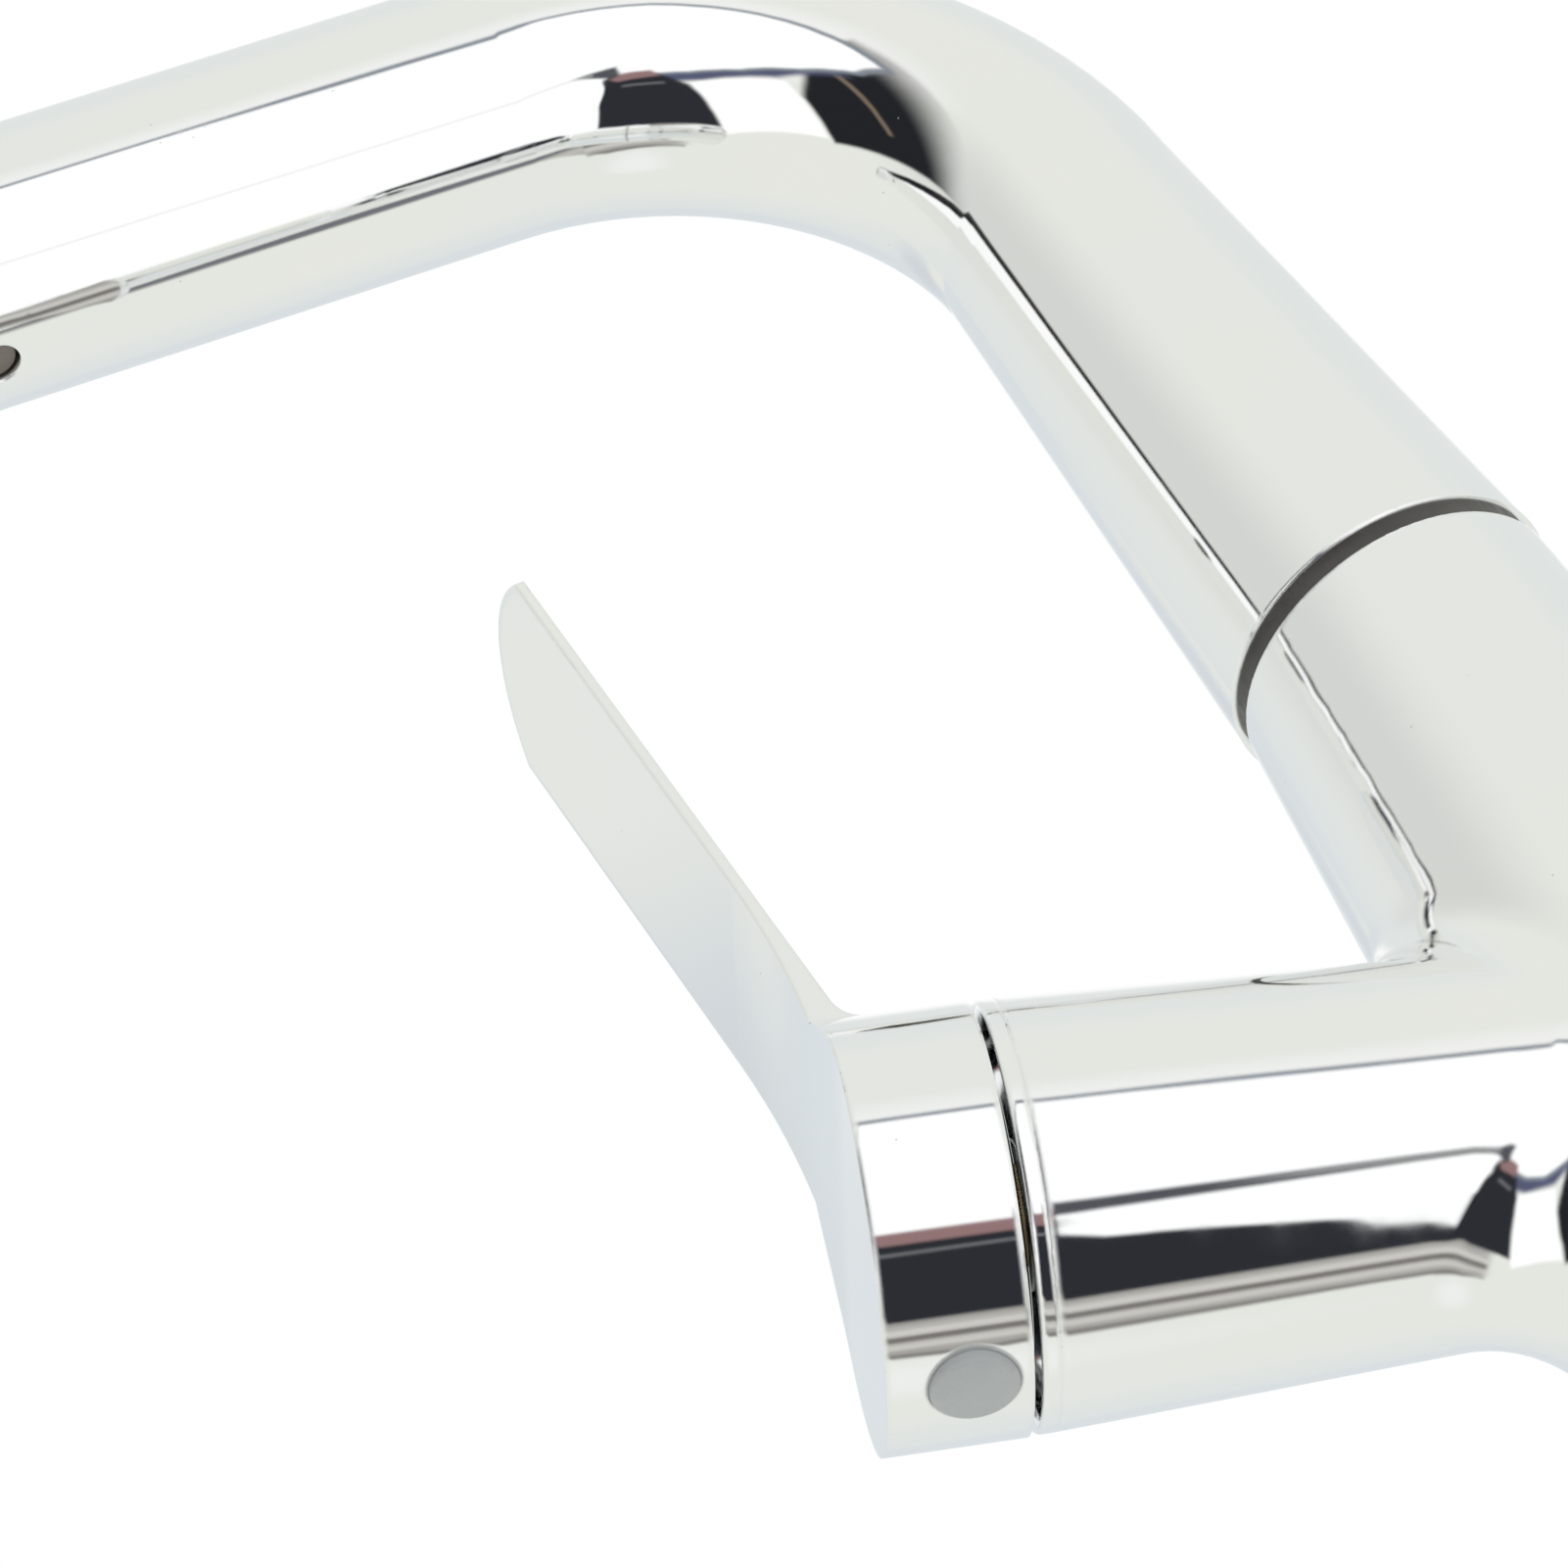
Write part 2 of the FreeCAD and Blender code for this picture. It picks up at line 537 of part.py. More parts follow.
lever_mass = rounded("lever_mass", lever_sharp, value("foot_blend"), blade_foot_edge)

cavity = cylinder("cap_cavity", "@cap_radius - @cap_wall", "4.85", z="@cap_start - 0.1")
boss = cylinder("cap_boss", "@boss_radius", "6", z="@cap_start + 0.6")
cavity_ring = cut("cap_cavity_ring", cavity, boss)
socket = box("stem_socket", "2 * @stem_half + 2 * @fit_gap", "2 * @stem_half + 2 * @fit_gap",
             "@stem_depth + 7.4",
             x="-@stem_half - @fit_gap", y="-@stem_half - @fit_gap", z="@cap_start - 7")
screw_way = cylinder("lever_screw_way", "@screw_radius + @fit_gap", "30", y="@plug_side", z="@screw_s",
                     turn=(ACROSS, 90))
cover_hole = cylinder("cover_hole", "@plug_radius + @fit_gap", "10", x="@cap_radius - @plug_seat - 0.05",
                      y="@plug_side",
                      z="@plug_s", turn=(ACROSS, 90))
lever_cut = cut("lever_hollowed", lever_mass, cavity_ring, socket, screw_way, cover_hole)
keep("lever", tilt(lever_cut))

grub = cylinder("lever_screw_rod", "@screw_radius", "9", x="@stem_half + 0.05", y="@plug_side", z="@screw_s",
                turn=(ACROSS, 90))
hex_key = make("Part::Prism", "lever_screw_key")
hex_key.Polygon = 6
bind(hex_key, "Circumradius", "@screw_radius - 0.85")
bind(hex_key, "Height", "3")
place(hex_key, x="@stem_half + 6.5", y="@plug_side", z="@screw_s", turn=(ACROSS, 90))
keep("lever_screw", tilt(cut("lever_screw_cut", grub, hex_key)))

cover_disc = cylinder("cover_disc", "@plug_radius", "@plug_seat + @plug_proud", x="@cap_radius - @plug_seat",
                      y="@plug_side", z="@plug_s", turn=(ACROSS, 90))
cover_soft = rounded("cover_soft", cover_disc, value("plug_edge"), lambda e: circle_at(e,
                                                                                       value("plug_radius"))
                     and e.Curve.Center.x > value("cap_radius"))
cover_stem = cylinder("cover_stem", "@screw_radius - 0.2", "6", x="@cap_radius - 7.5", y="@plug_side",
                      z="@screw_s",
                      turn=(ACROSS, 90))
keep("screw_cover", tilt(fuse("screw_cover_fuse", cover_soft, cover_stem)))

# Spout
leg_start = "(@ring_level + @glide_height)"
arm_level = "(@ring_level + @glide_height + @leg_length + @bend_radius)"


def bend_piece(label, radius):
    bend = make("Part::Torus", label)
    bind(bend, "Radius1", "@bend_radius")
    bind(bend, "Radius2", radius)
    bend.Angle3 = 90
    turned = FreeCAD.Rotation(FreeCAD.Vector(-1, 0, 0), UP, ACROSS, "XYZ")
    bend.Placement = FreeCAD.Placement(ORIGIN, turned)
    bind(bend, ".Placement.Base.x", "@bend_radius")
    bind(bend, ".Placement.Base.z", "@ring_level + @glide_height + @leg_length")
    return bend


def arm_piece(label, radius):
    return cylinder(label, radius, "@arm_end - @bend_radius", x="@bend_radius", z=arm_level, turn=(ACROSS,
                                                                                                   90))


leg_out = cone("spout_leg", "@leg_foot", "@arm_radius", "@leg_length", z=leg_start)
leg_in = cone("spout_leg_space", "@leg_foot - @spout_wall", "@arm_bore", "@leg_length", z=leg_start)
spout_leg = cut("spout_leg_shell", leg_out, leg_in)
spout_bend = cut("spout_bend_shell", bend_piece("spout_bend", "@arm_radius"), bend_piece("spout_bend_space",
                                                                                         "@arm_bore"))
spout_arm = cut("spout_arm_shell", arm_piece("spout_arm", "@arm_radius"), arm_piece("spout_arm_space",
                                                                                    "@arm_bore"))
spout_shell = fuse("spout_shell", spout_leg, spout_bend, spout_arm)
plug_seat = cylinder("insert_seat", "@plug_fit", "@plug_depth + 1", z=leg_start + " - 1")
inner_foot = cylinder("leg_mouth", "@insert_bore", "4", z=leg_start + " - 2")
nub_way = cylinder("latch_hole", "@nub_hole", "8", x="@nub_reach", z=arm_level + " - @arm_radius - 2")
spout_cut = cut("spout_tube_cut", spout_shell, plug_seat, inner_foot, nub_way)
keep("spout_tube", swing(spout_cut))

insert_low = cylinder("insert_neck", "@neck_radius", "@ring_level + @glide_height - @insert_floor - 0.4",
                      z="@insert_floor + 0.4")
insert_top = cylinder("insert_plug", "@plug_fit - @fit_gap", "@plug_depth - 0.2", z=leg_start)
insert_way = cylinder("insert_waterway", "@neck_radius - 3.5", "80", z="@insert_floor - 5")
grooves = []
for label, drop, half, depth in (("lower_oring_groove", "@lower_oring", "1.6", "@neck_step"),
                                 ("upper_oring_groove", "@upper_oring", "1.6", "@neck_step"),
                                 ("retaining_groove", "@retain_drop", "2.2", "1.6")):
    grooves.append(ring(label, "@insert_bore + 5", "@neck_radius - " + depth, "2 * " + half,
                        z="@ring_level - %s - %s" % (drop, half)))
keep("spout_insert", cut("spout_insert_cut", fuse("insert_blank", insert_low, insert_top), insert_way,
                         *grooves))

rings = []
for label, drop in (("lower_oring_ring", "@lower_oring"), ("upper_oring_ring", "@upper_oring")):
    rings.append(torus(label, "(@insert_bore + @neck_radius - @neck_step) / 2",
                       "(@insert_bore - @neck_radius + @neck_step) / 2 - 0.1", z="@ring_level - " + drop))
keep("spout_orings", held("spout_oring_group", *rings))
keep("lower_slip_ring", ring("lower_slip_ring_cut", "@insert_bore - @fit_gap", "@neck_radius + @fit_gap", "4",
                             z="@insert_floor + 1"))
keep("upper_slip_ring", ring("upper_slip_ring_cut", "@insert_bore - @fit_gap", "@neck_radius + @fit_gap",
                             "4.5",
                             z="@ring_level - 6"))
glide = ring("glide_ring_cut", "@glide_radius", "@insert_bore - 1", "@glide_height", z="@ring_level")
keep("glide_ring", glide)
retain = cylinder("retaining_screw_rod", "2", "@column_radius - @neck_radius", x="-@column_radius + 1.3",
                  z="@ring_level - @retain_drop", turn=(ACROSS, 90))
keep("retaining_screw", retain)

# Outlet end of the arm, drawn along +X and carried round with the spout
head_round = cylinder("head_round", "@arm_radius", "@head_end - @arm_end", x="@arm_end", z=arm_level,
                      turn=(ACROSS, 90))
head_soft = rounded("head_soft", head_round, value("head_edge"), lambda e: circle_at(e, value("arm_radius"))
                    and e.Curve.Center.x > value("arm_end") + 5)
head_tail = cylinder("head_tail", "@tail_radius", "40", x="@arm_end - 39", z=arm_level, turn=(ACROSS, 90))
collar = cylinder("nozzle_collar", "@nozzle_radius", "@arm_radius + @nozzle_drop", x="@nozzle_reach",
                  z=arm_level + " - @arm_radius - @nozzle_drop")
head_way = cylinder("head_waterway", "@tail_radius - 4", "@nozzle_reach - @arm_end + 40", x="@arm_end - 40",
                    z=arm_level,
                    turn=(ACROSS, 90))
head_room = cylinder("head_room", "@arm_radius - 3.6", "@head_end - @arm_end - 12", x="@arm_end + 5",
                     z=arm_level,
                     turn=(ACROSS, 90))
nozzle_way = cylinder("nozzle_thread", "@nozzle_bore", "11", x="@nozzle_reach",
                      z=arm_level + " - @arm_radius - @nozzle_drop - 1")
nozzle_up = cylinder("nozzle_feed", "@nozzle_bore - 4.5", "@arm_radius + @nozzle_drop", x="@nozzle_reach",
                     z=arm_level + " - @arm_radius - @nozzle_drop")
tail_groove_out = cylinder("tail_groove_outside", "@tail_radius + 8", "3.2", x="@arm_end - 36", z=arm_level,
                           turn=(ACROSS, 90))
tail_groove_in = cylinder("tail_groove_floor", "@tail_radius - 0.6", "6", x="@arm_end - 37", z=arm_level,
                          turn=(ACROSS, 90))
tail_groove = cut("tail_groove", tail_groove_out, tail_groove_in)
head_cut = cut("outlet_head_cut", fuse("head_blank", head_soft, head_tail, collar), head_way, head_room,
               nozzle_way, nozzle_up,
               tail_groove)
keep("outlet_head", swing(head_cut))

sleeve_out = cylinder("sleeve_outside", "@arm_bore - @fit_gap", "28", x="@arm_end - 30",
                      z=arm_level, turn=(ACROSS, 90))
sleeve_nub = cylinder("latch_nub", "@nub_radius", "3.4", x="@nub_reach", z=arm_level + " - @arm_radius + 1.2")
sleeve_in = cylinder("sleeve_inside", "@tail_radius + @fit_gap", "40", x="@arm_end - 35", z=arm_level,
                     turn=(ACROSS, 90))
keep("latch_sleeve", swing(cut("latch_sleeve_cut", fuse("sleeve_blank", sleeve_out, sleeve_nub), sleeve_in)))

tail_ring = make("Part::Torus", "tail_oring_ring")
bind(tail_ring, "Radius1", "(@arm_bore + @tail_radius - 0.6) / 2")
bind(tail_ring, "Radius2", "(@arm_bore - @tail_radius + 0.6) / 2 - 0.1")
place(tail_ring, x="@arm_end - 34.4", z=arm_level, turn=(ACROSS, 90))
keep("tail_oring", swing(held("tail_oring_body", tail_ring)))

nozzle_low = "(@ring_level + @glide_height + @leg_length + @bend_radius - @arm_radius - @nozzle_drop)"
housing_out = cylinder("aerator_shell", "@nozzle_bore - @fit_gap", "8.5", x="@nozzle_reach",
                       z=nozzle_low + " - 0.5")
housing_in = cylinder("aerator_room", "@nozzle_bore - 1.9", "7.3", x="@nozzle_reach", z=nozzle_low + " + 0.8")
housing_way = cylinder("aerator_mouth", "@nozzle_bore - 2.7", "20", x="@nozzle_reach", z=nozzle_low + " - 5")
keep("aerator_housing", swing(cut("aerator_housing_cut", housing_out, housing_in, housing_way)))
insert_disc = cylinder("aerator_disc", "@nozzle_bore - 2", "6", x="@nozzle_reach", z=nozzle_low + " + 0.8")
holes = []
for index in range(6):
    hole = cylinder("aerator_hole_%d" % (index + 1), "1.5", "12", z=nozzle_low + " - 3")
    bind(hole, ".Placement.Base.x", "@nozzle_reach + (@nozzle_bore - 6) * cos(%d)" % (60 * index))
    if index % 3:
        bind(hole, ".Placement.Base.y", "(@nozzle_bore - 6) * sin(%d)" % (60 * index))
    holes.append(hole)
holes.append(cylinder("aerator_hole_middle", "1.5", "12", x="@nozzle_reach", z=nozzle_low + " - 3"))
keep("aerator_insert", swing(cut("aerator_insert_cut", insert_disc, *holes)))
washer_out = cylinder("aerator_washer_outside", "@nozzle_bore - 0.3", "1.8", x="@nozzle_reach",
                      z=nozzle_low + " + 8.1")
washer_in = cylinder("aerator_washer_inside", "@nozzle_bore - 3.5", "6", x="@nozzle_reach",
                     z=nozzle_low + " + 6")
keep("aerator_washer", swing(cut("aerator_washer_cut", washer_out, washer_in)))

doc.recompute()
for obj in doc.Objects:
    if "Invalid" in obj.State or "Error" in obj.State:
        raise RuntimeError("feature failed: " + obj.Label)
os.makedirs("parts", exist_ok=True)
for name, obj in nodes.items():
    shape = obj.Shape
    if shape.isNull() or not shape.isValid():
        raise RuntimeError("bad shape: " + name)
    shape.exportStep("parts/%s.step" % name)
    bb = shape.BoundBox
    print("%-18s solids %d vol %.2f cm3 box %.1f..%.1f %.1f..%.1f %.1f..%.1f" % (
        name, len(shape.Solids), shape.Volume / 1000.0, bb.XMin, bb.XMax, bb.YMin, bb.YMax, bb.ZMin, bb.ZMax))
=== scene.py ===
import bmesh
import bpy
import json
import math
from mathutils import Matrix, Vector


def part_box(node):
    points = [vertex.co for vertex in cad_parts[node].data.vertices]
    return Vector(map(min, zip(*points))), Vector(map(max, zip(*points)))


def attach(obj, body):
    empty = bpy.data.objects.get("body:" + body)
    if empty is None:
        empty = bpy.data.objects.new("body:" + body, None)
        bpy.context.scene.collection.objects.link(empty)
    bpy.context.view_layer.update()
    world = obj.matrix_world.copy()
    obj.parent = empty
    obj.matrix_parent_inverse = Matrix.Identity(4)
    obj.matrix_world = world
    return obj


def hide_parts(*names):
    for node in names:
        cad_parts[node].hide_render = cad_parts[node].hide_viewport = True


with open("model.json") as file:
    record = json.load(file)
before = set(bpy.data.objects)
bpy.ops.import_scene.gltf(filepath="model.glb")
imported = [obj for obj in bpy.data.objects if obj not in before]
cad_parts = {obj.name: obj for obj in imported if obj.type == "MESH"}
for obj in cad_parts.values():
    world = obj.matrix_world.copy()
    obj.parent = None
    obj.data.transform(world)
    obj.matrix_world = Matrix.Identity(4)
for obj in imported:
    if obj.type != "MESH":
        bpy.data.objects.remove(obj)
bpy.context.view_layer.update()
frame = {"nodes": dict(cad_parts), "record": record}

# Camera: low, in front of the tap and below deck level, rolled as in the photograph
CAMERA_PLACE = (0.304583, 0.573894, -0.348109)
CAMERA_RIGHT = (-0.892253, -0.029895, -0.450546)
CAMERA_DOWN = (0.344816, -0.689325, -0.637129)
CAMERA_AHEAD = (-0.291526, -0.723835, 0.625361)
CAMERA_LENS = 157.4
SENSOR = 36.0
CLIP_NEAR = 0.01
CLIP_FAR = 20.0

cam_data = bpy.data.cameras.new("camera")
cam_data.lens = CAMERA_LENS
cam_data.sensor_width = SENSOR
cam_data.clip_start = CLIP_NEAR
cam_data.clip_end = CLIP_FAR
camera = bpy.data.objects.new("camera", cam_data)
bpy.context.scene.collection.objects.link(camera)
ahead = Vector(CAMERA_AHEAD).normalized()
right = Vector(CAMERA_RIGHT)
right = (right - ahead * right.dot(ahead)).normalized()
up = right.cross(ahead).normalized()
if up.dot(Vector(CAMERA_DOWN)) > 0:
    up = -up
turn = Matrix((right, up, -ahead)).transposed()
camera.matrix_world = Matrix.Translation(Vector(CAMERA_PLACE)) @ turn.to_4x4()
bpy.context.scene.camera = camera


class Nodes:
    """Short calls for building a node tree."""

    def __init__(self, tree):
        self.tree = tree

    def add(self, kind, **settings):
        node = self.tree.nodes.new(kind)
        for key, value in settings.items():
            setattr(node, key, value)
        return node

    def put(self, socket, value):
        if hasattr(value, "is_output"):
            self.tree.links.new(value, socket)
        elif value is not None:
            socket.default_value = value

    def math(self, operation, first, second=None, third=None, clamp=False):
        node = self.add("ShaderNodeMath", operation=operation, use_clamp=clamp)
        for socket, value in zip(node.inputs, (first, second, third)):
            self.put(socket, value)
        return node.outputs[0]

    def times(self, first, second):
        return self.math("MULTIPLY", first, second)

    def plus(self, first, second, clamp=False):
        return self.math("ADD", first, second, clamp=clamp)

    def dot(self, first, second):
        node = self.add("ShaderNodeVectorMath", operation="DOT_PRODUCT")
        self.put(node.inputs[0], first)
        self.put(node.inputs[1], second)
        return node.outputs["Value"]

    def stretched(self, vector, factors):
        node = self.add("ShaderNodeVectorMath", operation="MULTIPLY")
        self.put(node.inputs[0], vector)
        self.put(node.inputs[1], factors)
        return node.outputs["Vector"]

    def rotated(self, vector, angles):
        node = self.add("ShaderNodeVectorRotate", rotation_type="EULER_XYZ")
        self.put(node.inputs["Vector"], vector)
        self.put(node.inputs["Rotation"], angles)
        return node.outputs["Vector"]

    def smooth(self, value, low, high, to_low=0.0, to_high=1.0):
        node = self.add("ShaderNodeMapRange", interpolation_type="SMOOTHSTEP")
        given = {"Value": value, "From Min": low, "From Max": high, "To Min": to_low, "To Max": to_high}
        for name, setting in given.items():
            self.put(node.inputs[name], setting)
        return node.outputs["Result"]

    def blend(self, factor, under, over):
        node = self.add("ShaderNodeMix", data_type="RGBA")
        self.put(node.inputs["Factor"], factor)
        for name, color in (("A", under), ("B", over)):
            self.put(node.inputs[name], color if hasattr(color, "is_output") else (*color, 1.0))
        return node.outputs["Result"]

    def noise(self, vector, scale, detail=2.0, rough=0.5):
        node = self.add("ShaderNodeTexNoise")
        self.put(node.inputs["Vector"], vector)
        node.inputs["Scale"].default_value = scale
        node.inputs["Detail"].default_value = detail
        node.inputs["Roughness"].default_value = rough
        return node.outputs["Fac"]

    def bump(self, height, distance, under=None):
        node = self.add("ShaderNodeBump")
        node.inputs["Strength"].default_value = 1.0
        node.inputs["Distance"].default_value = distance
        self.put(node.inputs["Height"], height)
        self.put(node.inputs["Normal"], under)
        return node.outputs["Normal"]


# Studio colours
BACKDROP_WHITE = (1.0, 1.0, 1.0)
TENT_LEVEL = (0.80, 0.80, 0.80)
TENT_WARM = (0.835, 0.85, 0.80)
TENT_COOL = (0.785, 0.82, 0.81)
TENT_DEEP = (0.72, 0.765, 0.79)
TENT_BRIGHT = (0.93, 0.935, 0.92)
TENT_SHADED = (0.695, 0.705, 0.68)
TENT_DIM = (0.66, 0.70, 0.735)
CARD_WHITE = (1.1, 1.1, 1.1)
CARD_EDGE = (0.24, 0.27, 0.31)
CARD_FOLD = (0.09, 0.095, 0.11)
ROOM_BLACK = (0.018, 0.019, 0.023)
RAIL_BEIGE = (0.34, 0.27, 0.19)
SHADE_NAVY = (0.10, 0.11, 0.19)
BENCH_BROWN = (0.52, 0.51, 0.48)
BENCH_DEEP = (0.30, 0.29, 0.27)
BENCH_GAP = (0.13, 0.12, 0.11)
BENCH_PALE = (0.68, 0.665, 0.63)
BENCH_SLATE = (0.17, 0.18, 0.20)
OPENING_DARK = (0.027, 0.029, 0.036)
OPENING_ROSE = (0.34, 0.205, 0.205)
OPENING_LINE = (0.24, 0.245, 0.26)

# Studio cards: corners counter-clockwise, in degrees right and up from the direction that looks
# out of the object towards the front of the studio
FAR_ROOM = [(-88, 16), (-55, -23), (-24, 12), (-20, 40), (-13, 60), (-22, 56)]
FAR_ROOM_SOFT = [3.0, 2.0, 2.5, 3.0, 8.0, 20.0]
FAR_RAIL = [(-60, 10), (-59, 8.5), (-30, 27), (-31, 28.5)]
SHEET_SHADE = [(-32, 30), (-24, 10), (-8, -3), (4, -6), (4, 8), (-20, 34)]
FRONT_SHEET = [(-28, 48), (-30, 36), (-25, 22), (-15, 10), (-4, 4), (9, 2), (30, 2), (24, 44), (19.5, 53),
               (15.5, 60), (9, 64.5), (1, 64.5), (-8, 60)]
FRONT_SHEET_RIGHT = [(20, 2), (60, 2), (60, 40), (20, 49)]
LOWER_SHEET_LEFT = [(-26, 9), (-52, -22), (-20, -47), (-4, -6)]
LOWER_SHEET_RIGHT = [(14, 6), (26, -42), (48, -36), (60, 6)]
FOLD_DARK = [(12, 0), (16.5, 3.0), (23, 7.4), (19, 8.8), (12, 11)]
FOLD_FAINT = [(18, 6.4), (60, 2.4), (60, 3.6), (18, 8.0)]
BENCH = [(-5, -60), (26, -63), (58, -46), (58, -39), (24, -40), (-5, -40)]
BENCH_SOFT = [2.0, 2.0, 2.5, 2.5, 2.5, 9.0]
BENCH_LEFT = -5
BENCH_RIGHT = 34
# How far a bench line's lower and upper edges rise from the bench's left end to its right end
BENCH_LINE_RISE = (1.0, 1.5)
# Lower and upper edge at the left end, tone and strength
BENCH_LINES = (
    (-50.0, -46.5, BENCH_PALE, 0.85),
    (-53.6, -50.8, BENCH_GAP, 0.8),
    (-57.5, -55.0, BENCH_PALE, 0.7),
    (-62.5, -60.2, BENCH_GAP, 0.55),
)
SLATE_STRIP = [(35, -49), (62, -50), (62, -38), (35, -40)]
SLATE_SOFT = [3.0, 3.0, 3.0, 6.0]
OPENING = [(-5, -7), (-17, -41), (26.3, -41.5), (24.6, -31.5), (16.6, 1.1), (11, 4.2), (6, 4.6)]
OPENING_SOFT = [2.0, 1.2, 0.5, 0.2, 0.25, 2.0, 2.0]
OPENING_TOP = [(3, 0.4), (13.5, -1.6), (15.0, 0.6), (11, 4.6), (5, 5.0)]
OPENING_THREAD = [(2, -6.4), (13.0, -6.6), (13.0, -5.2), (2, -5.0)]

# Where the tent's shades begin and end: degrees from the front, and degrees up for the low side
COOL_RANGE = (105.0, 135.0)
DEEP_RANGE = (132.0, 156.0)
LOW_SIDE_RANGE = (60.0, -40.0)
# Where the tent ends behind the object, and how much sooner it ends higher up
COVER_RANGE = (177.0, 162.0)
COVER_TILT = 0.05
# Noise in the opening's edges and in the bench: scales per degree, depth in degrees
WOBBLE_STRETCH = (0.3, 1, 1)
WOBBLE_SCALE = 0.075
WOBBLE_RANGE = (0.3, 0.7)
WOBBLE_DEPTH = 0.4
STREAK_STRETCH = (0.012, 0.3, 1)
STREAK_RANGE = (0.40, 0.60)
# Keeps the division off zero straight in front, and how far an edge reaches to each side, in widths
AXIS_GUARD = 0.0001
EDGE_REACH = 0.5


class Studio(Nodes):
    """World tree: a pale tent that cards are painted on, one over the other."""

    def __init__(self, tree, right_axis, up_axis, front_axis):
        super().__init__(tree)
        direction = self.add("ShaderNodeTexCoord").outputs["Generated"]
        side = self.dot(direction, right_axis)
        rise = self.dot(direction, up_axis)
        front = self.dot(direction, front_axis)
        self.away = self.math("DEGREES", self.math("ARCCOSINE", front))
        spread = self.math("SQRT", self.plus(self.times(side, side), self.times(rise, rise)))
        stretch = self.math("DIVIDE", self.away, self.math("MAXIMUM", spread, AXIS_GUARD))
        place = self.add("ShaderNodeCombineXYZ")
        self.put(place.inputs[0], self.times(side, stretch))
        self.put(place.inputs[1], self.times(rise, stretch))
        place.inputs[2].default_value = 1.0
        self.spot = place.outputs[0]
        self.height = self.dot(self.spot, (0, 1, 0))
        self.color = self.blend(self.smooth(self.away, *COOL_RANGE), TENT_WARM, TENT_COOL)

    def card(self, corners, soft, grow=0.0, ragged=None):
        """Mask of a convex card, in degrees: soft is the width of its edges, one for all or one for
        each, grow moves them outwards, and ragged is a socket that moves them from place to place."""
        softs = soft if isinstance(soft, list) else [soft] * len(corners)
        inside = None
        for (x0, y0), (x1, y1), width in zip(corners, corners[1:] + corners[:1], softs):
            length = math.hypot(x1 - x0, y1 - y0) * width
            nx = (y0 - y1) / length
            ny = (x1 - x0) / length
            depth = self.dot(self.spot, (nx, ny, grow / width - (nx * x0 + ny * y0)))
            if ragged is not None:
                depth = self.math("MULTIPLY_ADD", ragged, 1.0 / width, depth)
            inside = depth if inside is None else self.math("MINIMUM", inside, depth)
        return self.smooth(inside, -EDGE_REACH, EDGE_REACH)

    def glow(self, centre, inner, outer):
        """Mask of a round patch that fades from the inner to the outer radius, in degrees."""
        node = self.add("ShaderNodeVectorMath", operation="DISTANCE")
        self.put(node.inputs[0], self.spot)
        self.put(node.inputs[1], (*centre, 1.0))
        return self.smooth(node.outputs["Value"], outer, inner)

    def paint(self, mask, color, strength=1.0):
        """Lays one colour over the tent where the mask is."""
        factor = mask if strength == 1.0 else self.times(mask, strength)
        self.color = self.blend(factor, self.color, color)


world = bpy.data.worlds.new("studio")
bpy.context.scene.world = world
world.use_nodes = True
world.node_tree.nodes.clear()
sky = Studio(world.node_tree, tuple(right), tuple(up), tuple(-ahead))
wobble = sky.noise(sky.stretched(sky.spot, WOBBLE_STRETCH), WOBBLE_SCALE, detail=0.0)
wobble = sky.smooth(wobble, *WOBBLE_RANGE, WOBBLE_DEPTH, -WOBBLE_DEPTH)

# Tent: deeper low behind, bright above the front sheet, shaded above the far room
low_side = sky.smooth(sky.height, *LOW_SIDE_RANGE)
sky.paint(sky.times(sky.smooth(sky.away, *DEEP_RANGE), low_side), TENT_DEEP)
sky.paint(sky.card(FRONT_SHEET, soft=14.0, grow=9.0), TENT_BRIGHT)
sky.paint(sky.glow((-88, 36), inner=6.0, outer=60.0), TENT_SHADED)
sky.paint(sky.glow((-130, -72), inner=5.0, outer=27.0), TENT_DIM)
sky.paint(sky.glow((-136, -50), inner=3.0, outer=13.0), TENT_WARM, strength=0.8)
# Dark far room to the left of the front sheet, with a beige rail, and the shade under the sheet
sky.paint(sky.card(FAR_ROOM, FAR_ROOM_SOFT), ROOM_BLACK)
sky.paint(sky.card(FAR_RAIL, soft=1.2), RAIL_BEIGE, strength=0.6)
sky.paint(sky.card(SHEET_SHADE, soft=4.0), SHADE_NAVY)
# Front sheet with a thin dark edge, the lower sheets and the fold between them
sky.paint(sky.card(FRONT_SHEET, soft=1.6, grow=2.0), CARD_EDGE)
sky.paint(sky.card(FRONT_SHEET_RIGHT, soft=1.2), CARD_WHITE)
sky.paint(sky.card(FRONT_SHEET, soft=1.2), CARD_WHITE)
sky.paint(sky.card(LOWER_SHEET_LEFT, soft=2.0), CARD_WHITE)
sky.paint(sky.card(LOWER_SHEET_RIGHT, soft=2.0), CARD_WHITE)
sky.paint(sky.card(FOLD_DARK, soft=1.4), CARD_FOLD)
sky.paint(sky.card(FOLD_FAINT, soft=1.0), TENT_SHADED, strength=0.5)
